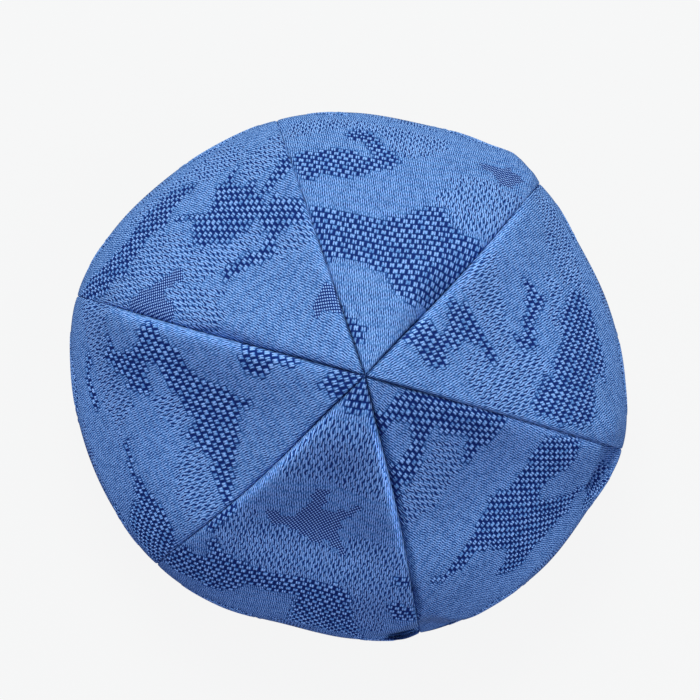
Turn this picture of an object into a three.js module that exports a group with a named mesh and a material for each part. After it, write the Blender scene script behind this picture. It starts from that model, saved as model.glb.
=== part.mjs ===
// Soft beanie of six knitted panels, sewn together at the crown and resting on its rim.
// Millimetres, +Z up. The rim lies on Z = 0 and the six panel tips meet on the crown axis.
import * as THREE from 'three';

// Whole form
const crownHeight = 112; // rim plane to the point where the tips meet
const widestHeight = 42; // level of the outline seen from above
const referenceReach = 103; // mean reach of that outline from the crown axis
const crownSquareness = 2.55; // of the plain crown curve: 2 is an ellipse, more is flatter on top
const plainRise = 58; // height of the plain crown curve, on which lengths along the cloth are taken
const coneShare = 0.85; // how far the seams draw the crown from that curve to a straight tent
const rimShare = 0.865; // rim reach as a share of the widest reach
const wallTuck = 1.8; // how late the wall turns in below the widest level
const axisX = 5.9; // crown axis from the middle of the plan
const axisY = 0.97;

// Cloth
const clothThickness = 1.8;
const seamGap = 0.36; // clear space between neighbouring panels
const seamAllowance = 6; // cloth turned in along each seam
const hemLength = 20; // cloth turned up inside the rim
const hemAir = 0.2; // added to the two layers of the hem
const tipReach = 0.7; // each panel stops this far from the crown axis

// Sewn crown
const bowLength = 110; // a seam bows sideways between the crown and this length
const wallValley = 0.25; // depth and reach of the seam groove on the wall
const wallReach = 2.5;
const lipPlace = 4.6; // a raised lip has its top this far from the seam
const lipRise = 4; // and spreads this far to the seam and into the panel
const lipFall = 14;

// Mesh steps
const acrossSteps = 14;
const crownSteps = 24;
const hemSteps = 2;

// A row per seam, anticlockwise. The panel named in the row runs from this seam to the next one.
// The groove of the seam fades out between two lengths along the cloth.
// Reaches of the outline are given at the seam and at three places across the panel.
const seams = [
  { panel: 'panel_right', azimuth: -16.3, bow: 0.3, fadeFrom: 78, fadeTo: 108,
    reaches: { atSeam: 103.7, quarter: 100.3, middle: 97.8, lateQuarter: 96.8 } },
  { panel: 'panel_back', azimuth: 47.3, bow: -1.3, fadeFrom: 78, fadeTo: 108,
    reaches: { atSeam: 100, quarter: 100.2, middle: 98.8, lateQuarter: 100.9 } },
  { panel: 'panel_back_left', azimuth: 109, bow: 0, fadeFrom: 50, fadeTo: 80,
    reaches: { atSeam: 103.4, quarter: 104.8, middle: 107.4, lateQuarter: 111.4 } },
  { panel: 'panel_left', azimuth: 164.8, bow: 0.5, fadeFrom: 78, fadeTo: 108,
    reaches: { atSeam: 114.6, quarter: 112.8, middle: 110.9, lateQuarter: 109.5 } },
  { panel: 'panel_front', azimuth: 222.2, bow: 1.1, fadeFrom: 78, fadeTo: 108,
    reaches: { atSeam: 108.5, quarter: 105.3, middle: 101.1, lateQuarter: 102.1 } },
  { panel: 'panel_front_right', azimuth: 282.2, bow: 1.25, fadeFrom: 78, fadeTo: 108,
    reaches: { atSeam: 103.6, quarter: 102.2, middle: 101.7, lateQuarter: 100.9 } },
];

// A row per panel: its sag between the seams, and the groove and lip along its first and last edge
const edges = [
  { panel: 'panel_right', sag: 6, start: { depth: 1.2, reach: 1.8, lip: 0 }, end: { depth: 2.2, reach: 3, lip: 1.3 } },
  { panel: 'panel_back', sag: 6, start: { depth: 2.4, reach: 2.8, lip: 0 }, end: { depth: 2.2, reach: 2.6, lip: 0 } },
  { panel: 'panel_back_left', sag: 6.5, start: { depth: 1.8, reach: 2, lip: 0.3 }, end: { depth: 3.4, reach: 2.4, lip: 0 } },
  { panel: 'panel_left', sag: 10, start: { depth: 2.6, reach: 3, lip: 1 }, end: { depth: 1.4, reach: 1.4, lip: 0 } },
  { panel: 'panel_front', sag: 6, start: { depth: 1.4, reach: 1.5, lip: 3 }, end: { depth: 2.4, reach: 2, lip: 3 } },
  { panel: 'panel_front_right', sag: 10, start: { depth: 3.2, reach: 2.6, lip: 0 }, end: { depth: 2.6, reach: 10, lip: 0 } },
];

// A row per dent or swell of the slack cloth: its panel, where it lies, how far it spreads and how deep it is.
// Along is measured over the cloth from the crown.
const dents = [
  { panel: 'panel_right', azimuth: -12, along: 104, across: 6, length: 9, depth: -1.6 },
  { panel: 'panel_front_right', azimuth: 282.2, along: 105, across: 4, length: 11, depth: 1.8 },
  { panel: 'panel_back', azimuth: 47.3, along: 50, across: 6, length: 12, depth: 6.2 },
  { panel: 'panel_right', azimuth: 47.3, along: 50, across: 3.5, length: 12, depth: 1.8 },
  { panel: 'panel_back', azimuth: 55, along: 120, across: 9, length: 16, depth: -2.6 },
  { panel: 'panel_back', azimuth: 49.5, along: 116, across: 3, length: 12, depth: -0.8 },
  { panel: 'panel_right', azimuth: 45.5, along: 116, across: 4, length: 12, depth: 1 },
  { panel: 'all', azimuth: 0, along: 0, across: 200, length: 4.5, depth: 4 },
  { panel: 'all', azimuth: 107, along: 110, across: 5, length: 7, depth: 1.4 },
  { panel: 'all', azimuth: 164.8, along: 102, across: 4, length: 6, depth: 1.5 },
];

// A row per crisp fold: the cloth falls away past a ridge, half its width to each side, and comes back lower down.
// Turn leans the ridge off the level line.
const folds = [
  { panel: 'panel_front_right', azimuth: -21.5, along: 98, half: 11, turn: -12, sharp: 4, back: 14, spread: 12, depth: 6 },
  { panel: 'all', azimuth: 276.5, along: 103.5, half: 13, turn: -22, sharp: 4, back: 9, spread: 11, depth: 4.5 },
];

const radians = (degrees) => (degrees * Math.PI) / 180;
const degrees = (turn) => (turn * 180) / Math.PI;
const mix = (from, to, share) => from + (to - from) * share;
const clamp = (value) => Math.min(1, Math.max(0, value));

function smooth(from, to, value) {
  const share = clamp((value - from) / (to - from));
  return share * share * (3 - 2 * share);
}

// Outline knots in turn order, with the first ones repeated past the end
function outlineKnots() {
  const knots = [];
  seams.forEach((seam, place) => {
    const next = place + 1 < seams.length ? seams[place + 1].azimuth : seams[0].azimuth + 360;
    const { atSeam, quarter, middle, lateQuarter } = seam.reaches;
    const reaches = [atSeam, quarter, middle, lateQuarter];
    reaches.forEach((reach, step) => knots.push({ azimuth: mix(seam.azimuth, next, step / 4), reach }));
  });
  const turned = (knot, turn) => ({ azimuth: knot.azimuth + turn, reach: knot.reach });
  const before = knots.slice(-2).map((knot) => turned(knot, -360));
  const after = knots.slice(0, 3).map((knot) => turned(knot, 360));
  return [...before, ...knots, ...after];
}
const knots = outlineKnots();

// Smooth reach of the outline at an azimuth, through all knots
function outlineReach(azimuth) {
  const start = seams[0].azimuth;
  const turned = start + ((((azimuth - start) % 360) + 360) % 360);
  let at = 2;
  while (knots[at + 1].azimuth <= turned) at += 1;
  const [before, from, to, after] = [knots[at - 1], knots[at], knots[at + 1], knots[at + 2]];
  const span = to.azimuth - from.azimuth;
  const share = (turned - from.azimuth) / span;
  const leave = ((to.reach - before.reach) / (to.azimuth - before.azimuth)) * span;
  const arrive = ((after.reach - from.reach) / (after.azimuth - from.azimuth)) * span;
  const square = share * share;
  const cube = square * share;
  const ends = (2 * cube - 3 * square + 1) * from.reach + (3 * square - 2 * cube) * to.reach;
  return ends + (cube - 2 * square + share) * leave + (cube - square) * arrive;
}

// Section of the hat from the crown to the rim, as shares of the reach and heights
function sectionPoints() {
  const points = [];
  const crownCount = 240;
  const wallCount = 80;
  const crownRise = crownHeight - widestHeight;
  for (let step = 0; step <= crownCount; step += 1) {
    const turn = (Math.PI / 2) * (step / crownCount);
    const out = Math.sin(turn) ** (2 / crownSquareness);
    const plain = Math.max(0, Math.cos(turn)) ** (2 / crownSquareness);
    const up = widestHeight + crownRise * mix(plain, 1 - out, coneShare);
    points.push({ out, up, plainUp: widestHeight + plainRise * plain });
  }
  for (let step = 1; step <= wallCount; step += 1) {
    const drop = step / wallCount;
    const up = widestHeight * (1 - drop);
    points.push({ out: 1 - (1 - rimShare) * drop ** wallTuck, up, plainUp: up });
  }
  let along = 0;
  points.forEach((point, place) => {
    const last = points[Math.max(0, place - 1)];
    along += Math.hypot((point.out - last.out) * referenceReach, point.plainUp - last.plainUp);
    point.along = along;
  });
  return points;
}
const section = sectionPoints();
const clothLength = section[section.length - 1].along;

function sectionAt(along) {
  let at = 0;
  while (at < section.length - 2 && section[at + 1].along < along) at += 1;
  const [from, to] = [section[at], section[at + 1]];
  const share = clamp((along - from.along) / (to.along - from.along));
  return { out: mix(from.out, to.out, share), up: mix(from.up, to.up, share) };
}

// Outward direction in the upright plane through the axis, level at the rim and upright at the tip
function facing(along, reach) {
  const above = sectionAt(Math.max(0, along - 2));
  const below = sectionAt(Math.min(clothLength, along + 2));
  const run = (below.out - above.out) * reach;
  const fall = above.up - below.up;
  const level = smooth(clothLength - 16, clothLength, along);
  const out = mix(fall, Math.hypot(run, fall), level) * smooth(0, 8, along);
  const up = mix(run, 0, level);
  const size = Math.hypot(out, up);
  return { out: out / size, up: up / size };
}

// Azimuth of a seam at a length along the cloth; places past the last seam go on after a full turn
function seamTurn(place, along) {
  const seam = seams[place % seams.length];
  const out = Math.max(1, sectionAt(along).out * referenceReach);
  const bow = seam.bow * Math.sin(Math.PI * clamp(along / bowLength)) ** 2;
  return seam.azimuth + 360 * Math.floor(place / seams.length) + degrees(bow / out);
}

// Place on the cloth in the leaning directions of a dent or fold
function localPlace(row, azimuth, along, width) {
  const side = (((((azimuth - row.azimuth + 180) % 360) + 360) % 360) - 180) * width;
  const down = along - row.along;
  const lean = radians(row.turn ?? 0);
  return {
    across: side * Math.cos(lean) + down * Math.sin(lean),
    past: down * Math.cos(lean) - side * Math.sin(lean),
  };
}

// Groove and lip along one edge of a panel
function edgeRelief(edge, seam, far, along) {
  const onWall = smooth(seam.fadeFrom, seam.fadeTo, along);
  const depth = mix(edge.depth * smooth(0, 12, along), wallValley, onWall);
  const past = far - lipPlace;
  const swell = edge.lip * smooth(5, 30, along) * (1 - onWall);
  const lip = swell * Math.exp(-((past / (past < 0 ? lipRise : lipFall)) ** 2));
  return lip - depth * Math.exp(-far / mix(edge.reach, wallReach, onWall));
}

// How far the cloth stands off the plain section: edges, dents and folds
function relief(azimuth, along, place) {
  const panel = edges[place];
  const width = radians(Math.max(0.1, sectionAt(along).out * referenceReach));
  const fromStart = Math.max(0, azimuth - seamTurn(place, along)) * width;
  const toEnd = Math.max(0, seamTurn(place + 1, along) - azimuth) * width;
  let off = edgeRelief(panel.start, seams[place], fromStart, along);
  off += edgeRelief(panel.end, seams[(place + 1) % seams.length], toEnd, along);
  const isHere = (row) => row.panel === 'all' || row.panel === panel.panel;
  dents.filter(isHere).forEach((dent) => {
    const { across, past } = localPlace(dent, azimuth, along, width);
    off -= dent.depth * Math.exp(-((across / dent.across) ** 2) - (past / dent.length) ** 2);
  });
  folds.filter(isHere).forEach((fold) => {
    const { across, past } = localPlace(fold, azimuth, along, width);
    const there = 1 - smooth(fold.half - 4, fold.half + 4, Math.abs(across));
    const fallen = smooth(0, fold.sharp, past) * (1 - smooth(fold.back, fold.back + fold.spread, past));
    off -= fold.depth * there * fallen;
  });
  return off * (1 - smooth(clothLength - 26, clothLength - 6, along));
}

// The slack cloth hangs between the seams of the crown
function sagging(azimuth, along, place) {
  const from = seamTurn(place, along);
  const share = clamp((azimuth - from) / (seamTurn(place + 1, along) - from));
  const hang = (edges[place].sag * along * (1 - smooth(60, 125, along))) / 60;
  return hang * 4 * share * (1 - share);
}

// A point of the cloth, a depth below its outer face
function clothPoint(azimuth, along, depth, place) {
  const reach = outlineReach(azimuth);
  const spot = sectionAt(along);
  const face = facing(along, reach);
  const off = relief(azimuth, along, place) - depth;
  const out = spot.out * reach + face.out * off;
  const turn = radians(azimuth);
  const up = spot.up + face.up * off - sagging(azimuth, along, place);
  return new THREE.Vector3(axisX + out * Math.cos(turn), axisY + out * Math.sin(turn), up);
}

// Rows of a panel from its rim to its tip: distance over the cloth and depth of the inner face
function panelRows() {
  const hemTop = clothLength - hemLength;
  const doubled = 2 * clothThickness + hemAir;
  const rows = [];
  for (let step = 0; step <= hemSteps; step += 1) {
    rows.push({ along: mix(clothLength, hemTop, step / hemSteps), wall: doubled });
  }
  for (let step = 0; step <= crownSteps; step += 1) {
    const share = (step / crownSteps) ** 1.05;
    rows.push({ along: mix(hemTop - 1.2, tipReach, share), wall: clothThickness });
  }
  rows.forEach((row) => {
    const opened = mix(clothThickness + 0.6, seamAllowance, smooth(6, 34, row.along));
    row.flange = Math.max(row.wall + 0.6, opened);
  });
  return rows;
}
const rows = panelRows();

// One panel: a box of cloth with a turned-in strip along each long side, bent to the form
function panelGeometry(place) {
  const columns = acrossSteps + 2;
  const geometry = new THREE.BoxGeometry(columns, rows.length - 1, 1, columns, rows.length - 1, 1);
  const spots = geometry.getAttribute('position');
  for (let at = 0; at < spots.count; at += 1) {
    const column = Math.round(spots.getX(at) + columns / 2);
    const row = rows[Math.round(spots.getY(at) + (rows.length - 1) / 2)];
    const outside = spots.getZ(at) > 0;
    const reach = Math.max(tipReach, sectionAt(row.along).out * referenceReach);
    const seamFrom = seamTurn(place, row.along);
    const seamTo = seamTurn(place + 1, row.along);
    const clear = degrees(Math.asin(seamGap / 2 / reach));
    const strip = Math.min(0.5 * ((seamTo - seamFrom) / 2 - clear), degrees(clothThickness / reach));
    const inset = outside ? clear : clear + strip;
    const step = Math.min(acrossSteps, Math.max(0, column - 1));
    const across = 0.5 - 0.5 * Math.cos((Math.PI * step) / acrossSteps);
    const azimuth = mix(seamFrom + inset, seamTo - inset, across);
    const turnedIn = column === 0 || column === columns;
    const depth = turnedIn ? row.flange : outside ? 0 : row.wall;
    const point = clothPoint(azimuth, row.along, depth, place);
    spots.setXYZ(at, point.x, point.y, point.z);
  }
  geometry.computeVertexNormals();
  return geometry;
}

const group = new THREE.Group();
group.name = 'beanie';
seams.forEach((seam, place) => {
  const material = new THREE.MeshStandardMaterial({ color: 0x5f89c4, roughness: 0.9, metalness: 0 });
  const mesh = new THREE.Mesh(panelGeometry(place), material);
  mesh.name = seam.panel;
  group.add(mesh);
});

export default group;
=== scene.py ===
import math
import bpy
import bmesh
import numpy as np
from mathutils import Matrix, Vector


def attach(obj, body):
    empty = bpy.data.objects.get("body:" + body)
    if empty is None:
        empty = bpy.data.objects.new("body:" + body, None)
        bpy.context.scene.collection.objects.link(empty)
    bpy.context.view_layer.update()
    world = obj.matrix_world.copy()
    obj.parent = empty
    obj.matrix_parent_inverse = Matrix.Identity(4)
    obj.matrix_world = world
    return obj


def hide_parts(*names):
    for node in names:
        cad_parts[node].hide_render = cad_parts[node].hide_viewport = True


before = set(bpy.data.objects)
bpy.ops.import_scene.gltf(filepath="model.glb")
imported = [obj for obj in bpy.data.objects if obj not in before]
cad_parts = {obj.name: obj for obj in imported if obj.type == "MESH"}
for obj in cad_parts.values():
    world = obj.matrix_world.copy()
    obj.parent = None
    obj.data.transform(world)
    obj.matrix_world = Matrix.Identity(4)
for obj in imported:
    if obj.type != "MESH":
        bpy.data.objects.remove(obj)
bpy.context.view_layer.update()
scene = bpy.context.scene
mm = 0.001

# The hat's own form, in millimetres, as in the solids
form = dict(
    crownHeight=112.0, widestHeight=42.0, reach=103.0, squareness=2.55, plainRise=58.0, coneShare=0.85,
    rimShare=0.865, wallTuck=1.8, swell=3.0, swellFrom=0.55, drop=3.0, dropFrom=0.74,
    slopeStep=2.0, levelRim=16.0, uprightTip=8.0, evenRim=(26, 6),
    sagFull=60.0, sagEnd=125.0, foldSoft=4.0,
)
axis = dict(x=5.9, y=0.97)  # crown axis from the middle of the plan
cloth = dict(
    thickness=1.8, gap=0.004, allowance=6.0, hem=20.0, hemAir=0.2, hemStep=1.2, rimWidth=95.0,
    tip=0.02, rimRound=1.6, seamRound=1.3, tipRound=0.8, wallRound=0.6, under=0.6,
)
# Seam grooves and rolled edges; pairs are lengths along the cloth where something fades in or out
sewn = dict(
    wallValley=0.25, wallReach=2.5, bowLength=110.0, grooveFrom=(-4, 9),
    lipPlace=4.6, lipRise=4.0, lipFall=14.0, lipFrom=(5, 30),
    # Painted light along the seams: the first two set where a painted highlight over a rolled edge lies,
    # the tip values paint shade into the seams near the crown, and the last is the darkest painted shade
    seamLightPlace=1.4, seamLightReach=1.1, tipShade=0.42, tipReach=0.6, tipFade=(14, 40), deepest=-0.5,
    allowanceFrom=(6, 34), roundFade=(85, 105), tipRoundTo=15,
)
knit = dict(
    column=2.76, acrossSteps=6, alongSteps=4, columns=22, firstRow=70, lastRow=190,
    crownFrom=20.0, crownTo=100.0, insideStep=2.0, columnShift=200, rowShift=40,
    chartStretch=0.034, chartFrom=(5, 60), chartTo=(90, 125),
)
# Relief in the mesh: where a raised cell and a sunk dash begin and end to fade, and how high they are
relief = dict(
    cellX=(0.24, 0.42), cellY=(0.20, 0.46), dashX=(0.1, 0.34), dashY=(0.14, 0.3),
    cell=0.5, hollow=0.25, dash=0.2, fine=0.12, seamFade=(0.2, 2),
)

# One dictionary per panel. Patches are charted on the flat cloth, in millimetres
# across (anticlockwise) and along (from the crown); the skew is the lean of the knitted rows.
# An edge has the depth and reach of its groove, the height of its lip and the strength of the light
# painted along it: a painted highlight where positive, painted shade where negative.
panels = [
    dict(
        name="panel_right", azimuth=-16.3, bow=0.3, sag=6.0, fade=(78, 108), lipFade=(78, 108),
        startEdge=(1.2, 1.8, 0.0, 0.0), endEdge=(2.2, 3.0, 1.3, 0.3),
        reaches=(103.7, 100.3, 97.8, 96.8), skew=0.26, rows=(2.14, 1.95),
        blister=[
            [(8, 18), (11, 18), (15, 26), (13, 29), (6, 30), (7, 34), (10, 36), (16, 36), (18, 39),
             (14, 42), (16, 45), (8, 46), (3, 48), (-9, 50), (-9, 47), (-3, 46), (0, 43), (2, 40),
             (0, 36), (0, 31), (-6, 30), (-5, 25), (0, 23), (5, 21)],
            [(-27, 55), (-23, 56), (-24, 60), (-19, 64), (-18, 69), (-14, 71), (-6, 78), (0, 80),
             (5, 83), (9, 88), (10, 93), (8, 97), (3, 99), (-6, 99), (-18, 97), (-27, 93), (-22, 89),
             (-28, 86), (-37, 81), (-40, 77), (-39, 70), (-36, 64), (-31, 57)],
            [(-8, 60), (-2, 58), (0, 62), (8, 68), (13, 70), (18, 70), (17, 73), (12, 75), (9, 78),
             (5, 75), (4, 71), (1, 69), (-4, 68), (-8, 65)],
        ],
        dash=[
            [(-22, 38), (-10, 34), (-2, 40), (-4, 46), (-9, 50), (-4, 52), (6, 49), (16, 46), (22, 42),
             (30, 55), (30, 60), (5, 58), (-2, 57), (-9, 60), (-8, 66), (-16, 69), (-18, 62),
             (-30, 52)],
            [(-6, 76), (4, 76), (8, 80), (20, 80), (18, 84), (10, 86), (4, 82), (-4, 78)],
            [(12, 88), (30, 86), (46, 90), (48, 100), (30, 105), (10, 103), (4, 100), (10, 96)],
        ],
        fine=[],
    ),
    dict(
        name="panel_back", azimuth=47.3, bow=-1.3, sag=6.0, fade=(78, 108), lipFade=(78, 108),
        startEdge=(2.4, 2.8, 0.0, 0.0), endEdge=(2.2, 2.6, 0.0, 0.0),
        reaches=(100.0, 100.2, 98.8, 100.9), skew=0.08, rows=(2.19, 1.93),
        blister=[
            [(-24, 34), (-14, 31), (-9, 30), (-5, 32), (0, 37), (2, 39), (8, 40), (16, 40), (21, 38),
             (25, 41), (31, 51), (31, 57), (22, 58), (6, 58), (3, 60), (-2, 62), (-6, 65), (-10, 68),
             (-17, 68), (-21, 61), (-27, 59), (-36, 57)],
            [(3.5, 12), (7, 12), (10, 16), (15, 24), (12, 24), (9, 19), (6, 18), (3.5, 18)],
            [(2, 84), (4, 81), (9, 79), (17, 73), (22, 71), (30, 70), (33, 66), (36, 65), (39, 69),
             (43, 77), (34, 80), (24, 85), (18, 83), (14, 84), (15, 88), (20, 90), (26, 91), (25, 95),
             (20, 98), (14, 98), (11, 95), (10, 91), (3, 86)],
        ],
        dash=[
            [(-36, 60), (-20, 61), (-18, 68), (-9, 69), (-12, 74), (-18, 77), (-14, 80), (-22, 84),
             (-44, 84), (-47, 79)],
            [(-2, 88), (8, 89), (10, 96), (14, 99), (26, 98), (34, 92), (42, 86), (48, 88), (46, 100),
             (30, 106), (0, 108), (-12, 106), (-14, 98)],
        ],
        fine=[[(-41, 87), (-37, 85), (-32, 86), (-31, 90), (-24, 92), (-31, 95), (-38, 97), (-42, 94)]],
    ),
    dict(
        name="panel_back_left", azimuth=109.0, bow=0.0, sag=6.5, fade=(50, 80), lipFade=(50, 80),
        startEdge=(1.8, 2.0, 0.3, 0.15), endEdge=(3.4, 2.4, 0.0, 0.0),
        reaches=(103.4, 104.8, 107.4, 111.4), skew=0.34, rows=(2.09, 1.79),
        blister=[
            [(-31, 57), (-25, 54), (-18, 56), (-12, 54), (-8, 51), (-3, 53), (0, 55), (10, 56),
             (10, 59), (3, 60), (-9, 57), (-13, 59), (-14, 66), (-18, 68), (-26, 68), (-30, 60)],
            [(-20, 68), (-12, 66), (-3, 66), (2, 69), (7, 72), (8, 75), (6, 79), (1, 82), (4, 86),
             (9, 88), (5, 89), (0, 85), (-3, 82), (-8, 84), (-14, 88), (-24, 90), (-20, 86), (-20, 80),
             (-24, 79), (-22, 73)],
            [(-38, 74), (-33, 72), (-27, 71), (-22, 72), (-23, 74), (-30, 75), (-33, 78), (-42, 79)],
            [(-9, 97), (-4, 95), (3, 95), (6, 91), (12, 89), (18, 91), (24, 88), (31, 86), (34, 83),
             (37, 86), (44, 86), (52, 92), (53, 103), (42, 102), (36, 98), (22, 98), (18, 102),
             (12, 105), (4, 104), (-8, 101)],
        ],
        dash=[
            [(-30, 49), (-20, 47), (-10, 49), (-8, 52), (-25, 55), (-33, 56)],
            [(18, 47), (26, 44), (33, 56), (30, 60), (28, 67), (20, 70), (20, 62), (10, 53), (18, 52)],
            [(-13, 60), (2, 60), (18, 61), (20, 70), (30, 73), (42, 74), (47, 84), (38, 86), (32, 84),
             (24, 88), (12, 89), (8, 82), (9, 74), (5, 70), (-3, 66), (-13, 66)],
            [(-30, 72), (-42, 80), (-46, 88), (-42, 92), (-28, 90), (-21, 84), (-24, 79), (-32, 79)],
            [(-30, 92), (-20, 92), (-10, 95), (-10, 101), (0, 102), (18, 104), (20, 110), (-30, 110)],
        ],
        fine=[
            [(-14, 22), (-9, 22), (-8, 25), (-2, 26), (-5, 30), (-12, 32), (-18, 31)],
            [(38, 75), (34, 74), (30, 72.5), (23, 72), (18, 72.5), (18, 67), (22, 67.5), (28.5, 67),
             (28.5, 62), (32, 58), (37, 61), (39, 65), (42, 71.5), (41, 74)],
        ],
    ),
    dict(
        name="panel_left", azimuth=164.8, bow=0.5, sag=10.0, fade=(78, 108), lipFade=(78, 108),
        startEdge=(2.6, 3.0, 1.4, 0.35), endEdge=(1.4, 1.4, 0.0, 0.0),
        reaches=(114.6, 112.8, 110.9, 109.5), skew=0.12, rows=(2.09, 2.00),
        blister=[
            [(-4, 1), (3, 1), (7, 9), (6, 12), (0, 15), (-4, 13), (-7, 10)],
            [(-13, 20), (-8, 20), (-10, 25), (-10, 29), (-7, 31), (-11, 37), (-26, 37), (-20, 31)],
            [(-1, 36), (1, 39), (2, 43), (5, 45), (10, 46), (20, 50), (28, 52), (34, 54), (34, 58),
             (18, 58), (12, 60), (8, 64), (4, 63), (1, 60), (-8, 63), (-20, 66), (-24, 68), (-22, 70),
             (-11, 72), (-14, 80), (-20, 80), (-23, 84), (-29, 86), (-36, 82), (-28, 79), (-29, 74),
             (-32, 69), (-37, 67), (-36, 63), (-24, 57), (-12, 53), (-8, 46), (-4, 43)],
            [(3, 87), (14, 89), (20, 87), (31, 81), (36, 80), (44, 81), (51, 90), (54, 104), (44, 108),
             (34, 106), (29, 102), (25, 92), (18, 91), (5, 90)],
            [(-31, 95), (-28, 94), (-24, 98), (-10, 97), (-9, 100), (-17, 103), (-21, 102), (-32, 98)],
        ],
        dash=[
            [(12, 60), (20, 60), (33, 59), (40, 70), (34, 74), (24, 73), (14, 70), (8, 66)],
            [(-10, 62), (0, 61), (6, 66), (0, 70), (-10, 72)],
            [(-50, 80), (-36, 83), (-29, 87), (-10, 80), (-4, 86), (0, 90), (-12, 94), (-28, 92),
             (-38, 96), (-50, 98), (-56, 92)],
        ],
        fine=[],
    ),
    dict(
        name="panel_front", azimuth=222.6, bow=1.9, sag=6.0, fade=(78, 108), lipFade=(45, 80),
        startEdge=(1.4, 1.5, 3.0, 0.6), endEdge=(2.4, 2.0, 3.0, 1.1),
        reaches=(108.5, 105.3, 101.1, 102.1), skew=0.06, rows=(2.19, 2.00),
        blister=[
            [(-4, 1), (4, 2), (7, 10), (11, 18), (8, 16), (4, 12), (2, 14), (-2, 13), (-7, 10)],
            [(-34, 52), (-30, 53), (-28, 58), (-31, 63), (-36, 69), (-42, 67)],
            [(-36, 70), (-33, 71), (-30, 76), (-20, 79), (-10, 81), (8, 80), (14, 79), (20, 82),
             (20, 88), (24, 95), (27, 101), (30, 112), (0, 112), (1, 100), (0, 92), (-14, 90),
             (-20, 91), (-22, 96), (-26, 99), (-42, 98), (-54, 94), (-50, 84), (-43, 79), (-36, 82),
             (-34, 78)],
            [(33, 82), (37, 78), (42, 80), (47, 88), (40, 89), (35, 86)],
            [(30, 69), (38, 66), (42, 70), (34, 71)],
            [(36, 115), (41, 109), (45, 104), (49, 102), (53, 104), (53, 112), (44, 117), (37, 119)],
        ],
        dash=[
            [(-10, 17), (4, 15), (10, 19), (18, 31), (20, 40), (10, 41), (-8, 39), (-20, 40),
             (-16, 30)],
            [(-32, 54), (-22, 55), (-20, 60), (-8, 60), (0, 65), (12, 66), (12, 60), (20, 55), (30, 55),
             (44, 75), (46, 80), (33, 80), (34, 88), (36, 100), (28, 102), (20, 88), (20, 81), (10, 79),
             (-8, 81), (-28, 76), (-33, 70), (-38, 69)],
        ],
        fine=[
            [(-19, 52), (-15, 53.5), (-12, 55), (-7.5, 54.5), (-7, 51), (-5, 48), (-3.5, 44), (0, 44),
             (0, 47), (0.5, 50), (3.5, 51), (8, 48), (13, 44), (13, 47), (10.5, 51), (8.5, 54),
             (7.5, 58), (11, 62), (14, 64), (11.5, 66.5), (7.5, 64.5), (5, 63), (3, 66), (1, 65.5),
             (-5, 62.5), (-9, 60.5), (-13, 59), (-18, 59)],
        ],
    ),
    dict(
        name="panel_front_right", azimuth=282.2, bow=1.25, sag=10.0, fade=(86, 110), lipFade=(90, 108),
        startEdge=(3.2, 2.8, 0.0, -0.3), endEdge=(2.4, 4.2, 0.3, 0.15),
        reaches=(103.6, 102.2, 101.7, 100.9), skew=0.23, rows=(2.14, 1.64),
        blister=[
            [(-8, 12), (-3, 14), (6, 14), (11, 15), (20, 30), (30, 46), (20, 48), (6, 50), (5, 47),
             (12, 42), (9, 39), (5, 31), (-1, 33), (-10, 39), (-19, 39), (-30, 48), (-24, 39),
             (-20, 33), (-14, 30), (-8, 31), (-3, 29), (-1, 24), (-1, 20), (-6, 19), (-12, 20)],
            [(-34, 74), (-31, 74), (-26, 76), (-14, 73), (-4, 68), (2, 66), (8, 66), (12, 69), (17, 68),
             (28, 62), (33, 62), (38, 66), (42, 73), (36, 79), (20, 78), (16, 81), (32, 96), (27, 95),
             (22, 97), (24, 101), (18, 98), (0, 98), (-4, 101), (-10, 101), (-15, 94), (-9, 91),
             (-6, 87), (-10, 80), (-16, 78), (-22, 79), (-30, 77)],
            [(25, 108), (33, 101), (41, 101), (46, 105), (45, 113), (36, 115), (26, 113)],
            [(-52, 84), (-47, 84), (-46, 89), (-52, 90)],
        ],
        dash=[
            [(-28, 40), (-12, 40), (-5, 38), (2, 34), (6, 38), (7, 44), (4, 48), (-10, 52), (-32, 50)],
        ],
        fine=[],
    ),
]

# Patches of the wall below the outline, the same plain kind on every panel
wallPatches = dict(
    blister=[
        [(-40, 118), (-22, 114), (-12, 120), (-16, 130), (-4, 136), (-14, 144), (-30, 138), (-44, 134)],
        [(10, 140), (24, 134), (40, 140), (38, 152), (22, 158), (6, 166), (-8, 160), (4, 150)],
        [(26, 112), (44, 116), (38, 126), (28, 122)],
    ],
    dash=[
        [(-8, 114), (18, 116), (30, 128), (18, 134), (0, 130)],
        [(-46, 146), (-30, 144), (-14, 152), (-16, 166), (-36, 172), (-48, 160)],
    ],
    fine=[[(34, 158), (46, 156), (44, 170), (28, 174), (24, 166)]],
)

# A row per dent or swell of the slack cloth, on one panel or on all of them
dents = [
    dict(panel="panel_right", azimuth=-12, along=104, across=6, length=9, depth=-1.6),  # over the fold
    dict(panel="panel_front_right", azimuth=282.2, along=100, across=4, length=11, depth=1.2),
    dict(panel="panel_back", azimuth=47.3, along=43, across=5.5, length=19, depth=6.2),  # under a lip
    dict(panel="panel_back_left", azimuth=164.8, along=48, across=2.6, length=16, depth=1.8),
    dict(panel="panel_right", azimuth=47.3, along=50, across=3.5, length=12, depth=1.8),
    dict(panel="all", azimuth=0, along=0, across=200, length=3.5, depth=3.0),  # pucker at the tips
    dict(panel="panel_back", azimuth=55, along=120, across=9, length=16, depth=-2.6),  # at the notch
    dict(panel="panel_back", azimuth=49.5, along=116, across=3, length=12, depth=-0.8),
    dict(panel="panel_right", azimuth=45.5, along=116, across=4, length=12, depth=1.0),
    dict(panel="all", azimuth=107, along=110, across=5, length=7, depth=1.4),
    dict(panel="all", azimuth=164.8, along=102, across=4, length=6, depth=1.5),
]

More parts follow.
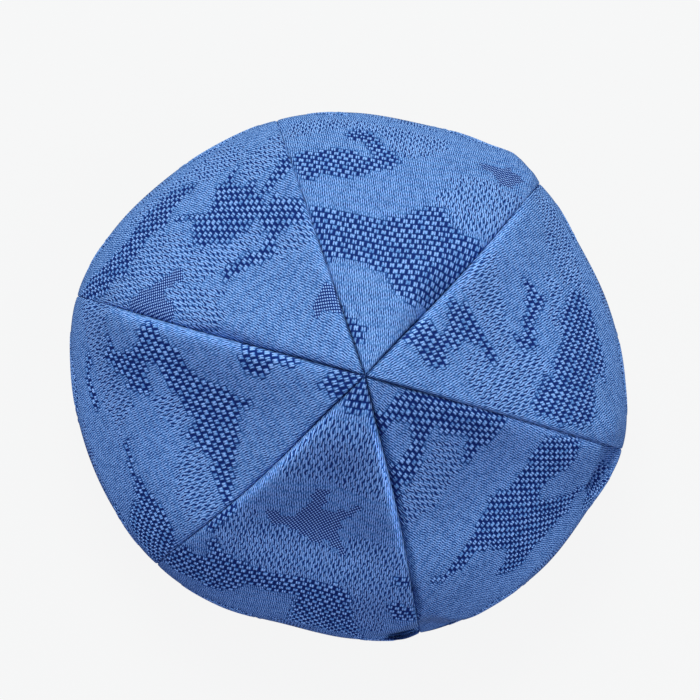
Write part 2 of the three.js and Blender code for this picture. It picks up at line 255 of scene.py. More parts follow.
# A row per crisp fold: the cloth falls away past a ridge and comes back lower down
folds = [
    dict(
        panel="panel_front_right", azimuth=-21.5, along=101.5, half=11, turn=-12,
        sharp=4, back=14, spread=12, depth=6.0, drop=0.0,
    ),
    dict(
        panel="all", azimuth=278, along=106.5, half=11, turn=-33,
        sharp=11, back=16, spread=46, depth=0.0, drop=12.0,
    ),
]


def smooth(start, end, value):
    share = np.clip((value - start) / (end - start), 0, 1)
    return share * share * (3 - 2 * share)


def mix(start, end, share):
    return start + (end - start) * share


# Knots of the outline seen from above, repeated a little past a full turn
seamTurns = [panel["azimuth"] for panel in panels] + [panels[0]["azimuth"] + 360]
knotTurns = [mix(seamTurns[i], seamTurns[i + 1], j / 4) for i in range(6) for j in range(4)]
knotReaches = [reach for panel in panels for reach in panel["reaches"]]
knotTurns = np.array([t - 360 for t in knotTurns[-2:]] + knotTurns + [t + 360 for t in knotTurns[:3]])
knotReaches = np.array(knotReaches[-2:] + knotReaches + knotReaches[:3])


def outlineReach(azimuth):
    turned = seamTurns[0] + np.mod(azimuth - seamTurns[0], 360)
    at = np.clip(np.searchsorted(knotTurns, turned, side="right") - 1, 2, len(knotTurns) - 3)
    span = knotTurns[at + 1] - knotTurns[at]
    share = (turned - knotTurns[at]) / span
    leave = (knotReaches[at + 1] - knotReaches[at - 1]) / (knotTurns[at + 1] - knotTurns[at - 1]) * span
    arrive = (knotReaches[at + 2] - knotReaches[at]) / (knotTurns[at + 2] - knotTurns[at]) * span
    square, cube = share**2, share**3
    ends = (2 * cube - 3 * square + 1) * knotReaches[at] + (3 * square - 2 * cube) * knotReaches[at + 1]
    return ends + (cube - 2 * square + share) * leave + (cube - square) * arrive


# Section from the crown to the rim: a squarish curve drawn towards a tent, then the wall turning in.
# Distances along the cloth are taken on the plain curve.
crownTurn = np.linspace(0, math.pi / 2, 241)
wallDrop = np.linspace(0, 1, 81)[1:]
power = 2 / form["squareness"]
crownRise = form["crownHeight"] - form["widestHeight"]
plainUp, crownOut = np.maximum(0, np.cos(crownTurn)) ** power, np.sin(crownTurn) ** power
sectionOut = np.concatenate([crownOut, 1 - (1 - form["rimShare"]) * wallDrop ** form["wallTuck"]])
wallUp = form["widestHeight"] * (1 - wallDrop)
plainHeight = np.concatenate([form["widestHeight"] + plainUp * form["plainRise"], wallUp])
tentUp = mix(plainUp, 1 - crownOut, form["coneShare"])
sectionUp = np.concatenate([form["widestHeight"] + tentUp * crownRise, wallUp])
sectionSteps = np.hypot(np.diff(sectionOut) * form["reach"], np.diff(plainHeight))
sectionAlong = np.concatenate([[0], np.cumsum(sectionSteps)])
clothLength = sectionAlong[-1]


def sectionAt(along):
    return np.interp(along, sectionAlong, sectionOut), np.interp(along, sectionAlong, sectionUp)


def facing(along, reach):
    outAbove, upAbove = sectionAt(np.maximum(0, along - form["slopeStep"]))
    outBelow, upBelow = sectionAt(np.minimum(clothLength, along + form["slopeStep"]))
    run, fall = (outBelow - outAbove) * reach, upAbove - upBelow
    level = smooth(clothLength - form["levelRim"], clothLength, along)
    out = mix(fall, np.hypot(run, fall), level) * smooth(0, form["uprightTip"], along)
    up = run * (1 - level)
    size = np.hypot(out, up)
    return out / size, up / size


# The shoulder swells a little and then drops steeper to the outline; the drop runs out down the wall
def shoulder(along):
    out, up = sectionAt(along)
    crown = along < sectionAlong[len(crownTurn) - 1]
    swelling = np.clip((out - form["swellFrom"]) / (1 - form["swellFrom"]), 0, 1)
    dropping = np.clip((out - form["dropFrom"]) / (1 - form["dropFrom"]), 0, 1)
    lift = form["swell"] * np.sin(math.pi * swelling) ** 2 - form["drop"] * dropping**2
    return np.where(crown, lift, -form["drop"] * up / form["widestHeight"])


# Seams bow a little sideways between the crown and the shoulder
def seamTurn(place, along):
    seam = panels[place % 6]
    out = np.maximum(1.0, sectionAt(along)[0] * form["reach"])
    bow = seam["bow"] * np.sin(math.pi * np.clip(along / sewn["bowLength"], 0, 1)) ** 2
    return seam["azimuth"] + 360 * (place // 6) + np.degrees(bow / out)


def localPlace(row, azimuth, along, width):
    side = (np.mod(azimuth - row["azimuth"] + 180, 360) - 180) * width
    down, lean = along - row["along"], math.radians(row.get("turn", 0))
    return side * math.cos(lean) + down * math.sin(lean), down * math.cos(lean) - side * math.sin(lean)


def standOff(azimuth, along, place):
    seamFrom, seamTo = seamTurn(place, along), seamTurn(place + 1, along)
    width = np.radians(np.maximum(0.1, sectionAt(along)[0] * form["reach"]))
    fromStart = np.maximum(0, azimuth - seamFrom) * width
    toEnd = np.maximum(0, seamTo - azimuth) * width
    off, opened, drop = np.zeros_like(along), np.zeros_like(along), np.zeros_like(along)
    panel, following = panels[place], panels[(place + 1) % 6]
    starting = (panel["startEdge"], panel["fade"], fromStart)
    ending = (panel["endEdge"], following["fade"], toEnd)
    rolled = smooth(*sewn["lipFrom"], along) * (1 - smooth(*panel["lipFade"], along))
    nearTip = 1 - smooth(*sewn["tipFade"], along)
    for (deep, wide, lip, spread), fade, far in (starting, ending):
        onWall = smooth(*fade, along)
        depth = mix(deep * smooth(*sewn["grooveFrom"], along), sewn["wallValley"], onWall)
        reach = mix(wide, sewn["wallReach"], onWall)
        past = far - sewn["lipPlace"]
        lipWidth = np.where(past < 0, sewn["lipRise"], sewn["lipFall"])
        off = off - depth * np.exp(-far / reach) + lip * rolled * np.exp(-((past / lipWidth) ** 2))
        # Painted highlight over the rolled lips where an edge's fourth number is positive, painted shade
        # where it is negative, and painted shade in the seams near the crown
        seamLightProfile = np.exp(-(((far - sewn["seamLightPlace"]) / sewn["seamLightReach"]) ** 2))
        opened = opened + spread * rolled * seamLightProfile
        opened = opened - sewn["tipShade"] * nearTip * np.exp(-((far / sewn["tipReach"]) ** 2))
    for dent in dents:
        if dent["panel"] in ("all", panel["name"]):
            across, lengthwise = localPlace(dent, azimuth, along, width)
            faded = np.exp(-((across / dent["across"]) ** 2) - (lengthwise / dent["length"]) ** 2)
            off = off - dent["depth"] * faded
    for fold in folds:
        if fold["panel"] in ("all", panel["name"]):
            across, past = localPlace(fold, azimuth, along, width)
            soft = form["foldSoft"]
            there = 1 - smooth(fold["half"] - soft, fold["half"] + soft, np.abs(across))
            back = 1 - smooth(fold["back"], fold["back"] + fold["spread"], past)
            fallen = there * smooth(0, fold["sharp"], past) * back
            off, drop = off - fold["depth"] * fallen, drop + fold["drop"] * fallen
    evenFrom, evenTo = form["evenRim"]
    off = off * (1 - smooth(clothLength - evenFrom, clothLength - evenTo, along))
    return off, np.maximum(opened, sewn["deepest"]), drop


# The slack cloth hangs between the seams of the crown
def sagging(azimuth, along, place):
    seamFrom, seamTo = seamTurn(place, along), seamTurn(place + 1, along)
    share = np.clip((azimuth - seamFrom) / (seamTo - seamFrom), 0, 1)
    slack = along / form["sagFull"] * (1 - smooth(form["sagFull"], form["sagEnd"], along))
    return panels[place]["sag"] * slack * 4 * share * (1 - share)


def clothPoints(azimuth, along, depth, place):
    reach = outlineReach(azimuth)
    out, up = sectionAt(along)
    faceOut, faceUp = facing(along, reach)
    off, _, drop = standOff(azimuth, along, place)
    off = off - depth
    far, turn = out * reach + faceOut * off, np.radians(azimuth)
    height = up + faceUp * off + shoulder(along) - sagging(azimuth, along, place) - drop
    places = [axis["x"] + far * np.cos(turn), axis["y"] + far * np.sin(turn), height]
    return np.stack(places, axis=-1) * mm


def flatToTurn(across, along, middle):
    onCloth, turn = np.maximum(along, 0.01), np.zeros_like(along)
    for _ in range(60):
        reach = np.maximum(0.01, sectionAt(onCloth)[0] * outlineReach(middle + np.degrees(turn)))
        turn = np.arcsin(np.clip(across / reach, -0.95, 0.95))
        onCloth = np.clip(0.5 * onCloth + 0.5 * (along + reach * (1 - np.cos(turn))), 0, clothLength)
    return middle + np.degrees(turn), onCloth


def wallDepth(along):
    doubled = 2 * cloth["thickness"] + cloth["hemAir"]
    hemTop = clothLength - cloth["hem"]
    return mix(cloth["thickness"], doubled, smooth(hemTop - cloth["hemStep"], hemTop, along))


# A seam allowance reaches below the neighbour's edge, also where that edge lies deeper
def flangeDepth(azimuth, along, place):
    shallow = cloth["thickness"] + cloth["under"]
    turnedIn = mix(shallow, cloth["allowance"], smooth(*sewn["allowanceFrom"], along))
    plain = np.maximum(wallDepth(along) + cloth["under"], turnedIn)
    nearStart = azimuth - seamTurn(place, along) < seamTurn(place + 1, along) - azimuth
    before = standOff(azimuth + 360 * (place == 0), along, (place - 1) % 6)[0]
    after = standOff(azimuth - 360 * (place == 5), along, (place + 1) % 6)[0]
    lower = standOff(azimuth, along, place)[0] - np.where(nearStart, before, after)
    reaching = plain + np.maximum(0, lower)
    return mix(reaching, wallDepth(along) / 2, smooth(clothLength - 5, clothLength - 0.5, along))


def turnIn(distance, radius):
    near = np.clip(radius - distance, 0, radius)
    return radius - np.sqrt(np.maximum(0, radius**2 - near**2))


# Flat outline of a panel: its two seams and its rim, drawn on the flat cloth
def flatOutline(place, inset):
    middle = (seamTurns[place] + seamTurns[place + 1]) / 2
    along = np.concatenate([np.linspace(0.01, 2, 200), np.linspace(2, clothLength, 900)[1:]])
    out = sectionAt(along)[0]
    seamFrom, seamTo = seamTurn(place, along), seamTurn(place + 1, along)
    sides = []
    for seam, sign in ((seamFrom, 1), (seamTo, -1)):
        rough = np.maximum(0.01, out * form["reach"])
        clear = np.degrees(np.arcsin(np.minimum(0.9, (cloth["gap"] / 2) / rough)))
        strip = np.minimum(0.5 * ((seamTo - seamFrom) / 2 - clear), np.degrees(inset / rough))
        azimuth = seam + sign * (clear + strip)
        turn = np.radians(azimuth - middle)
        reach = out * outlineReach(azimuth)
        sides.append((along - reach * (1 - np.cos(turn)), reach * np.sin(turn)))
    rimTurn = np.linspace(seamTurns[place], seamTurns[place + 1], 300)
    rimReach = form["rimShare"] * outlineReach(rimTurn)
    rimAngle = np.radians(rimTurn - middle)
    rim = (rimReach * np.sin(rimAngle), clothLength - rimReach * (1 - np.cos(rimAngle)))
    return sides, rim


# Cut one flat layer from a grid that follows the knitted rows and columns
def cutLayer(bm, place, columnPlaces, rowPlaces, inset, inside):
    sides, rim = flatOutline(place, inset)
    columns, rows = len(columnPlaces) - 1, len(rowPlaces) - 1
    grid = bmesh.ops.create_grid(bm, x_segments=columns, y_segments=rows, size=0.5)["verts"]
    spots = np.array([v.co for v in grid])
    across = columnPlaces[np.round((spots[:, 0] + 0.5) * columns).astype(int)]
    along = rowPlaces[np.round((spots[:, 1] + 0.5) * rows).astype(int)] - panels[place]["skew"] * across
    low, high = np.interp(along, *sides[0]), np.interp(along, *sides[1])
    lowest = np.interp(across, *rim)
    outside = (across <= low) | (across >= high) | (along >= lowest) | (along <= cloth["tip"])
    rounded = np.clip(along, cloth["tip"], None)
    low, high = np.interp(rounded, *sides[0]), np.interp(rounded, *sides[1])
    held = np.clip(across, low, high)
    rounded = np.minimum(rounded, np.interp(held, *rim))
    layerAcross, layerAlong = bm.verts.layers.float["across"], bm.verts.layers.float["along"]
    layerInside = bm.verts.layers.float["inside"]
    for v, x, y, out in zip(grid, held, rounded, outside):
        v.co = (x * mm, y * mm, 0)
        v[layerAcross], v[layerAlong], v[layerInside] = x, y, inside
        v.tag = bool(out)
    faces = {f for v in grid for f in v.link_faces}
    spare = [f for f in faces if all(v.tag for v in f.verts)]
    bmesh.ops.delete(bm, geom=spare, context="FACES")


def insideAny(outlines, x, y):
    found = np.zeros(x.shape, bool)
    for outline in outlines:
        odd = np.zeros(x.shape, bool)
        for (x0, y0), (x1, y1) in zip(outline, outline[1:] + outline[:1]):
            crosses = (y0 > y) != (y1 > y)
            if y0 != y1:
                odd ^= crosses & (x < (x1 - x0) * (y - y0) / (y1 - y0) + x0)
        found |= odd
    return found


# Knit places: columns, and rows that draw closer from the crown to the shoulder
def knitRows(panel):
    along = np.linspace(-80, 280, 1801)
    share = np.clip((along - knit["crownFrom"]) / (knit["crownTo"] - knit["crownFrom"]), 0, 1)
    pitch = mix(panel["rows"][0], panel["rows"][1], share)
    return along, knit["rowShift"] + np.concatenate([[0], np.cumsum(np.diff(along) / pitch[1:])])


def knitPlaces(panel, across, along):
    u = across / knit["column"] + knit["columnShift"] + 0.5 / knit["acrossSteps"]
    return u, np.interp(along + panel["skew"] * across, *knitRows(panel)) + 0.5 / knit["alongSteps"]


def weaves(panel, across, along):
    u, v = knitPlaces(panel, across, along)
    row = np.floor(v)
    shift = 0.5 * np.mod(row, 2)
    middle = np.floor(u + shift) + 0.5 - shift
    x = (middle - knit["columnShift"] - 0.5 / knit["acrossSteps"]) * knit["column"]
    rowAlong, rowCount = knitRows(panel)
    y = np.interp(row + 0.5 - 0.5 / knit["alongSteps"], rowCount, rowAlong) - panel["skew"] * x
    stretched = smooth(*knit["chartFrom"], y) * (1 - smooth(*knit["chartTo"], y))
    stretch = 1 + knit["chartStretch"] * stretched
    x, y = x / stretch, y / stretch
    found = {}
    for kind in ("blister", "dash", "fine"):
        found[kind] = insideAny(panel[kind] + wallPatches[kind], x, y).astype(float)
    found["fine"] *= 1 - found["blister"]
    found["dash"] *= (1 - found["blister"]) * (1 - found["fine"])
    return u, v, found


def knitRelief(u, v, found):
    row = np.floor(v)
    cellX = np.abs(np.mod(u + 0.5 * np.mod(row, 2), 1) - 0.5)
    cellY = np.abs(np.mod(v, 1) - 0.5)
    cell = (1 - smooth(*relief["cellX"], cellX)) * (1 - smooth(*relief["cellY"], cellY))
    column = np.floor(2 * u)
    dashX = np.abs(np.mod(2 * u, 1) - 0.5)
    dashY = np.abs(np.mod(v / 2 + 0.5 * np.mod(column, 2), 1) - 0.5)
    dash = (1 - smooth(*relief["dashX"], dashX)) * (1 - smooth(*relief["dashY"], dashY))
    raised = found["blister"] * (relief["cell"] * cell - relief["hollow"])
    return raised - relief["dash"] * found["dash"] * dash - relief["fine"] * found["fine"]


# Build one panel: flat outer and inner layers, seam allowances, bent to the form and joined
def buildPanel(place):
    panel = panels[place]
    bm = bmesh.new()
    for name in ("across", "along", "inside", "flange"):
        bm.verts.layers.float.new(name)
    rowAlong, rowCount = knitRows(panel)
    most = knit["columns"] * knit["acrossSteps"]
    columnPlaces = np.arange(-most, most + 1) * knit["column"] / knit["acrossSteps"]
    rowSteps = np.arange(knit["firstRow"], knit["lastRow"], 1 / knit["alongSteps"])
    rowPlaces = np.interp(rowSteps, rowCount, rowAlong)
    cutLayer(bm, place, columnPlaces, rowPlaces, 0.0, 0.0)
    flatArea = sum(f.calc_area() for f in bm.faces)
    bmesh.ops.reverse_faces(bm, faces=bm.faces)
    plainColumns = np.arange(-60, 61, knit["insideStep"])
    plainRows = np.arange(-30, 211, knit["insideStep"])
    cutLayer(bm, place, plainColumns, plainRows, cloth["thickness"], 1.0)

    layers = bm.verts.layers.float
    middle = (seamTurns[place] + seamTurns[place + 1]) / 2
    flat = np.array([(v[layers["across"]], v[layers["along"]]) for v in bm.verts])
    onCloth = flatToTurn(flat[:, 0], flat[:, 1], middle)[1]
    for v, far in zip(bm.verts, onCloth):
        v.tag = far > clothLength - 0.05
    edges = [e for e in bm.edges if e.is_boundary and not (e.verts[0].tag and e.verts[1].tag)]
    made = bmesh.ops.extrude_edge_only(bm, edges=edges)["geom"]
    for v in made:
        if isinstance(v, bmesh.types.BMVert):
            v[layers["flange"]] = 1.0

    table = [[v[layers[name]] for name in ("across", "along", "inside", "flange")] for v in bm.verts]
    across, along, inside, flange = np.array(table).T
    azimuth, onCloth = flatToTurn(across, along, middle)
    u, v, found = weaves(panel, across, along)
    width = np.radians(sectionAt(onCloth)[0] * outlineReach(azimuth))
    seamFrom, seamTo = seamTurn(place, onCloth), seamTurn(place + 1, onCloth)
    toSeam = np.minimum(azimuth - seamFrom, seamTo - azimuth) * width
    outside = (1 - inside) * (1 - flange)
    raised = knitRelief(u, v, found) * outside * smooth(*relief["seamFade"], toSeam)
    atRim = turnIn(clothLength - onCloth, cloth["rimRound"])
    tipRound = cloth["seamRound"] * mix(cloth["tipRound"], 1, smooth(0, sewn["tipRoundTo"], onCloth))
    rounding = mix(tipRound, cloth["wallRound"], smooth(*sewn["roundFade"], onCloth))
    outer = np.maximum(atRim, turnIn(np.maximum(0, toSeam), rounding + 0.01)) - raised
    depth = np.where(inside > 0.5, wallDepth(onCloth) - atRim, outer)
    depth = np.where(flange > 0.5, flangeDepth(azimuth, onCloth, place), depth)
    # Painted highlight and painted shade along the seams, handed to the material as an attribute
    found["opened"] = standOff(azimuth, onCloth, place)[1]
    places = clothPoints(azimuth, onCloth, depth, place)
    for vert, spot in zip(bm.verts, places):
        vert.co = spot
    openEdges = [e for e in bm.edges if e.is_boundary]
    bmesh.ops.bridge_loops(bm, edges=openEdges)
    bmesh.ops.recalc_face_normals(bm, faces=bm.faces)

    mesh = bpy.data.meshes.new(panel["name"] + "_cloth")
    bm.to_mesh(mesh)
    bm.free()
    for kind in ("blister", "dash", "fine", "opened"):
        layer = mesh.attributes.new(kind, "FLOAT", "POINT")
        layer.data.foreach_set("value", found[kind].astype(np.float32))
    corners = np.zeros(len(mesh.loops), np.int32)
    mesh.loops.foreach_get("vertex_index", corners)
    uvs = np.stack([u[corners], v[corners]], axis=-1).astype(np.float32)
    mesh.uv_layers.new(name="knit").data.foreach_set("uv", uvs.ravel())
    mesh.polygons.foreach_set("use_smooth", np.ones(len(mesh.polygons), bool))
    mesh.update()
    piece = bpy.data.objects.new(panel["name"] + "_cloth", mesh)
    scene.collection.objects.link(piece)
    return piece, flatArea, flat


# Small helpers for node materials
def newMaterial(name):
    material = bpy.data.materials.new(name)
    material.use_nodes = True
    tree = material.node_tree
    tree.nodes.clear()
    output = tree.nodes.new("ShaderNodeOutputMaterial")
    shader = tree.nodes.new("ShaderNodeBsdfPrincipled")
    tree.links.new(shader.outputs[0], output.inputs[0])
    return material, tree, shader


def feed(tree, socket, value):
    if isinstance(value, bpy.types.NodeSocket):
        tree.links.new(value, socket)
    else:
        socket.default_value = value


def calc(tree, operation, *values):
    node = tree.nodes.new("ShaderNodeMath")
    node.operation = operation
    for socket, value in zip(node.inputs, values):
        feed(tree, socket, value)
    return node.outputs[0]


def ramp(tree, value, start, end, low=0.0, high=1.0):
    node = tree.nodes.new("ShaderNodeMapRange")
    node.interpolation_type = "SMOOTHSTEP"
    for socket, number in zip(node.inputs[:5], (value, start, end, low, high)):
        feed(tree, socket, number)
    return node.outputs[0]


def joined(tree, first, second):
    node = tree.nodes.new("ShaderNodeCombineXYZ")
    feed(tree, node.inputs[0], first)
    feed(tree, node.inputs[1], second)
    return node.outputs[0]


def between(tree, share, first, second):
    node = tree.nodes.new("ShaderNodeMix")
    feed(tree, node.inputs[0], share)
    feed(tree, node.inputs[2], first)
    feed(tree, node.inputs[3], second)
    return node.outputs[0]


def attribute(tree, name):
    node = tree.nodes.new("ShaderNodeAttribute")
    node.attribute_name = name
    return node.outputs["Fac"]


def noise(tree, vector, scale, detail=2.0):
    node = tree.nodes.new("ShaderNodeTexNoise")
    node.inputs["Scale"].default_value = scale
    node.inputs["Detail"].default_value = detail
    tree.links.new(vector, node.inputs["Vector"])
    return node.outputs["Fac"]


def chance(tree, first, second, shift):
    node = tree.nodes.new("ShaderNodeTexWhiteNoise")
    node.noise_dimensions = "2D"
    tree.links.new(joined(tree, calc(tree, "ADD", first, shift), second), node.inputs["Vector"])
    return node.outputs["Value"]


def middling(tree, value):
    return calc(tree, "ABSOLUTE", calc(tree, "SUBTRACT", calc(tree, "FRACT", value), 0.5))


# Yarn shades from the deepest hollow to the brightest loop, linear
yarnShades = [
    (0.00, (0.003, 0.016, 0.128)), (0.20, (0.022, 0.076, 0.260)), (0.40, (0.057, 0.148, 0.394)),
    (0.60, (0.095, 0.218, 0.506)), (0.80, (0.151, 0.298, 0.628)), (1.00, (0.285, 0.425, 0.810)),
]
finish = dict(
    roughness=0.85, specular=0.15, sheen=0.04, sheenRoughness=0.5, sheenTint=(0.6, 0.75, 1.0, 1),
    bump=0.5, bumpDepth=0.3,
)
# One dictionary per kind of loop, in shares of a knit cell; a pair is where a mark begins
# and ends to fade
blisterLoop = dict(
    wide=(0.20, 0.38), high=(0.24, 0.48), lean=0.14, slip=0.18,
    notchWide=(0.03, 0.15), notchHigh=(0.0, 0.25), notchFaint=0.35,
)
groundLoop = dict(
    wales=3.3, rows=1.25, wander=0.9, vary=0.4, wide=(0.14, 0.40), high=(0.18, 0.38), patch=0.22,
)
dashLoop = dict(wales=2.2, bend=1.4, vary=0.2, longer=-0.18, wide=(0.09, 0.30), high=(0.18, 0.28))
stitchLoop = dict(bend=1.2, slant=-0.65)
checkLoop = dict(across=2.0, along=1.5, fade=(0.10, 0.50))
# Tones on the scale of the yarn shades
tones = dict(
    ground=0.52, groundVary=0.30, gap=-0.40, dashGround=0.42, dashShare=0.6, dash=-1.15,
    cell=0.80, cellVary=0.40, notch=-0.7, cellStitch=0.28, check=0.02, checkRise=0.98, stitch=0.42,
    # The next line also holds how strongly the painted shade and painted highlight along the seams
    # change the yarn tone
    inside=0.65, insideGap=-0.4, sunk=1.1, opened=0.9, openedLow=-0.2, worn=0.93, wornVary=0.14,
)


# A spot that fades out from its middle both ways
def spot(tree, x, y, size):
    return calc(tree, "MULTIPLY", ramp(tree, x, *size["wide"], 1, 0), ramp(tree, y, *size["high"], 1, 0))


def knitMaterial():
    material, tree, shader = newMaterial("jacquardKnit")
    uvNode = tree.nodes.new("ShaderNodeUVMap")
    uvNode.uv_map = "knit"
    parts = tree.nodes.new("ShaderNodeSeparateXYZ")
    tree.links.new(uvNode.outputs[0], parts.inputs[0])
    u, v = parts.outputs[0], parts.outputs[1]
    blister, dash, fine = [attribute(tree, name) for name in ("blister", "dash", "fine")]
    # The seam attribute holds painted highlight and painted shade
    inside, seamPaintedLight = attribute(tree, "inside"), attribute(tree, "opened")

    # Blister cells in bricked rows, each a pair of bright loops in a dark hollow
    row = calc(tree, "FLOOR", v)
    shifted = calc(tree, "MULTIPLY_ADD", calc(tree, "MODULO", row, 2.0), 0.5, u)
    number = calc(tree, "FLOOR", shifted)
    lot, lean, slip = [chance(tree, number, row, shift) for shift in (0.0, 31.0, 57.0)]
    inCellX, inCellY = calc(tree, "FRACT", shifted), calc(tree, "FRACT", v)
    evenX = calc(tree, "SUBTRACT", inCellX, 0.5 + blisterLoop["lean"] / 2)
    evenY = calc(tree, "SUBTRACT", inCellY, 0.5 + blisterLoop["slip"] / 2)
    farX = calc(tree, "ABSOLUTE", calc(tree, "MULTIPLY_ADD", lean, blisterLoop["lean"], evenX))
    farY = calc(tree, "ABSOLUTE", calc(tree, "MULTIPLY_ADD", slip, blisterLoop["slip"], evenY))
    cell = spot(tree, farX, farY, blisterLoop)
    notchX = ramp(tree, farX, *blisterLoop["notchWide"], 1, 0)
    notchY = ramp(tree, farY, *blisterLoop["notchHigh"], blisterLoop["notchFaint"], 1)
    notch = calc(tree, "MULTIPLY", notchX, notchY)

    # Ground loops in staggered columns, each with a small dark gap beside it
    wave = noise(tree, uvNode.outputs[0], groundLoop["wander"], 1.0)
    wales = calc(tree, "MULTIPLY_ADD", u, groundLoop["wales"], wave)
    wale = calc(tree, "FLOOR", wales)
    half = calc(tree, "MULTIPLY", calc(tree, "MODULO", wale, 2.0), 0.5)
    offset = calc(tree, "MULTIPLY_ADD", chance(tree, wale, 0.0, 5.0), groundLoop["vary"], half)
    upward = calc(tree, "MULTIPLY_ADD", v, groundLoop["rows"], offset)
    bright = chance(tree, wale, calc(tree, "FLOOR", upward), 13.0)
    gap = spot(tree, middling(tree, wales), middling(tree, upward), groundLoop)
    patchy = noise(tree, uvNode.outputs[0], groundLoop["patch"])

    # Slanted single stitches, the finest mark on every weave
    bent = calc(tree, "MULTIPLY", wave, stitchLoop["bend"])
    level = calc(tree, "MULTIPLY_ADD", u, groundLoop["wales"], bent)
    slant = calc(tree, "MULTIPLY_ADD", v, stitchLoop["slant"], level)
    stitch = calc(tree, "COSINE", calc(tree, "MULTIPLY", slant, 2 * math.pi))

    # Dashes, long and slim in staggered columns
    bent = calc(tree, "MULTIPLY", wave, dashLoop["bend"])
    halves = calc(tree, "MULTIPLY_ADD", u, dashLoop["wales"], bent)
    column = calc(tree, "FLOOR", halves)
    half = calc(tree, "MULTIPLY", calc(tree, "MODULO", column, 2.0), 0.5)
    even = calc(tree, "MULTIPLY_ADD", v, 0.5, half)
    stagger = calc(tree, "MULTIPLY_ADD", chance(tree, column, 0.0, 71.0), dashLoop["vary"], even)
    lengths = chance(tree, column, calc(tree, "FLOOR", stagger), 83.0)
    longer = calc(tree, "MULTIPLY_ADD", lengths, dashLoop["longer"], middling(tree, stagger))
    mark = spot(tree, middling(tree, halves), longer, dashLoop)

    # Bird's-eye checks of the fine weave
    eyeX = calc(tree, "SINE", calc(tree, "MULTIPLY", u, 2 * math.pi * checkLoop["across"]))
    eyeY = calc(tree, "SINE", calc(tree, "MULTIPLY", v, 2 * math.pi * checkLoop["along"]))
    eye = ramp(tree, calc(tree, "MULTIPLY", eyeX, eyeY), *checkLoop["fade"])

    # The tone of each weave, and the weave that each place of the cloth has
    ground = calc(tree, "MULTIPLY_ADD", bright, tones["groundVary"], tones["ground"])
    ground = calc(tree, "MULTIPLY_ADD", gap, tones["gap"], ground)
    dashes = calc(tree, "MULTIPLY_ADD", ground, tones["dashShare"], tones["dashGround"])
    dashes = calc(tree, "MULTIPLY_ADD", mark, tones["dash"], dashes)
    cells = calc(tree, "MULTIPLY_ADD", lot, tones["cellVary"], tones["cell"])
    cells = calc(tree, "MULTIPLY_ADD", notch, tones["notch"], cells)
    cells = calc(tree, "MULTIPLY_ADD", stitch, tones["cellStitch"], cells)
    blisters = calc(tree, "MULTIPLY", cell, cells)
    checks = calc(tree, "MULTIPLY_ADD", eye, tones["checkRise"], tones["check"])
    plainInside = calc(tree, "MULTIPLY_ADD", gap, tones["insideGap"], tones["inside"])
    tone = between(tree, dash, ground, dashes)
    tone = calc(tree, "MULTIPLY_ADD", stitch, tones["stitch"], tone)
    tone = between(tree, fine, tone, checks)
    tone = between(tree, blister, tone, blisters)
    tone = between(tree, inside, tone, plainInside)
    yarn = tree.nodes.new("ShaderNodeValToRGB")
    while len(yarn.color_ramp.elements) < len(yarnShades):
        yarn.color_ramp.elements.new(0.5)
    for element, (place, shade) in zip(yarn.color_ramp.elements, yarnShades):
        element.position = place
        element.color = (*shade, 1)
    sunk = calc(tree, "MINIMUM", seamPaintedLight, 0.0)  # painted shade deep in the seams
    tree.links.new(calc(tree, "MULTIPLY_ADD", sunk, tones["sunk"], tone), yarn.inputs[0])
    shadeNode = tree.nodes.new("ShaderNodeHueSaturation")
    tree.links.new(yarn.outputs[0], shadeNode.inputs["Color"])
    lifted = calc(tree, "MAXIMUM", seamPaintedLight, tones["openedLow"])
    opened = calc(tree, "MULTIPLY_ADD", lifted, tones["opened"], 1.0)  # painted highlight over rolled seam edges and painted shade in the seams
    worn = calc(tree, "MULTIPLY_ADD", patchy, tones["wornVary"], tones["worn"])
    tree.links.new(calc(tree, "MULTIPLY", worn, opened), shadeNode.inputs["Value"])
    tree.links.new(shadeNode.outputs[0], shader.inputs["Base Color"])

    # Relief that is too fine for the mesh
    bump = tree.nodes.new("ShaderNodeBump")
    bump.inputs["Strength"].default_value = finish["bump"]
    bump.inputs["Distance"].default_value = finish["bumpDepth"] * mm
    tree.links.new(tone, bump.inputs["Height"])
    tree.links.new(bump.outputs[0], shader.inputs["Normal"])
    shader.inputs["Roughness"].default_value = finish["roughness"]
    shader.inputs["Specular IOR Level"].default_value = finish["specular"]
    shader.inputs["Sheen Weight"].default_value = finish["sheen"]
    shader.inputs["Sheen Roughness"].default_value = finish["sheenRoughness"]
    shader.inputs["Sheen Tint"].default_value = finish["sheenTint"]
    return material


print("stage: materials")
knitCloth = knitMaterial()

print("stage: panels")
for place, panel in enumerate(panels):
    piece, flatArea, flat = buildPanel(place)
    piece.data.materials.append(knitCloth)
    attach(piece, "root")
    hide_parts(panel["name"])

print("stage: floor, light and camera")
floorLook = dict(shade=(0.03, 0.03, 0.03, 1), roughness=0.9, glow=0.892, size=4.0)
floorMaterial, _, floorShader = newMaterial("paleFloor")
floorShader.inputs["Base Color"].default_value = floorLook["shade"]
floorShader.inputs["Roughness"].default_value = floorLook["roughness"]
floorShader.inputs["Specular IOR Level"].default_value = 0.0
floorShader.inputs["Emission Color"].default_value = (1, 1, 1, 1)
floorShader.inputs["Emission Strength"].default_value = floorLook["glow"]
floorMesh = bpy.data.meshes.new("floor")
floorBm = bmesh.new()
bmesh.ops.create_grid(floorBm, x_segments=4, y_segments=4, size=floorLook["size"])
floorBm.to_mesh(floorMesh)
floorBm.free()
floorMesh.materials.append(floorMaterial)
floor = bpy.data.objects.new("floor", floorMesh)
floor.visible_diffuse = False  # throws no light back on the hat
scene.collection.objects.link(floor)

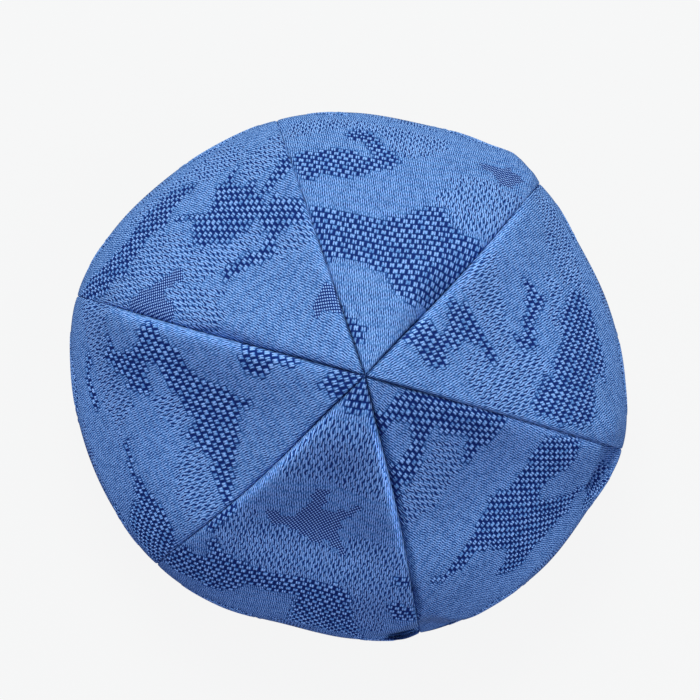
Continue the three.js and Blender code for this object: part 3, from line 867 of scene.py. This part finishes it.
skyLook = dict(shade=(0.79, 0.95, 1.58, 1), low=-0.05, high=0.15, strength=0.32)
world = bpy.data.worlds.new("softRoom")
world.use_nodes = True
sky = world.node_tree.nodes["Background"]
sky.inputs[0].default_value = skyLook["shade"]
skyway = world.node_tree.nodes.new("ShaderNodeTexCoord")
skyParts = world.node_tree.nodes.new("ShaderNodeSeparateXYZ")
world.node_tree.links.new(skyway.outputs["Generated"], skyParts.inputs[0])
skyRise = skyParts.outputs[2]  # no light from below the floor
skyLight = ramp(world.node_tree, skyRise, skyLook["low"], skyLook["high"], 0.0, skyLook["strength"])
world.node_tree.links.new(skyLight, sky.inputs[1])
scene.world = world

# Lamps by their turn round the hat and rise above the floor, in degrees
lampLook = dict(far=1.4, aim=Vector((0, 0, 0.06)), shade=(0.88, 1.0, 0.86))
lamps = [
    dict(name="keyLight", turn=97, rise=46, size=0.6, power=17.2),
    dict(name="rightFill", turn=0, rise=45, size=0.7, power=2.9),
    dict(name="leftFill", turn=172, rise=45, size=0.7, power=1.7),
    dict(name="frontFill", turn=330, rise=48, size=0.7, power=2.9),
]


def areaLight(lamp):
    data = bpy.data.lights.new(lamp["name"], "AREA")
    data.size = lamp["size"]
    data.energy = lamp["power"]
    data.color = lampLook["shade"]
    turn, rise = math.radians(lamp["turn"]), math.radians(lamp["rise"])
    level = lampLook["far"] * math.cos(rise)
    holder = bpy.data.objects.new(lamp["name"], data)
    place = Vector((level * math.cos(turn), level * math.sin(turn), lampLook["far"] * math.sin(rise)))
    holder.location = place
    holder.rotation_euler = (lampLook["aim"] - place).to_track_quat("-Z", "Y").to_euler()
    scene.collection.objects.link(holder)


for lamp in lamps:
    areaLight(lamp)

# The camera looks straight down; a pixel of the 700 px picture is taken at the outline's level
view = dict(x=0.54, y=10.15, contour=50.0, distance=800.0, perPixel=0.38, pixels=700, sensor=36.0)
camera = bpy.data.cameras.new("photoView")
camera.sensor_width = view["sensor"]
camera.lens = view["sensor"] * view["distance"] / (view["pixels"] * view["perPixel"])
camera.clip_start = 0.01
eyeObject = bpy.data.objects.new("photoView", camera)
eyeObject.location = (view["x"] * mm, view["y"] * mm, (view["contour"] + view["distance"]) * mm)
scene.collection.objects.link(eyeObject)
scene.camera = eyeObject
scene.view_settings.view_transform = "Standard"
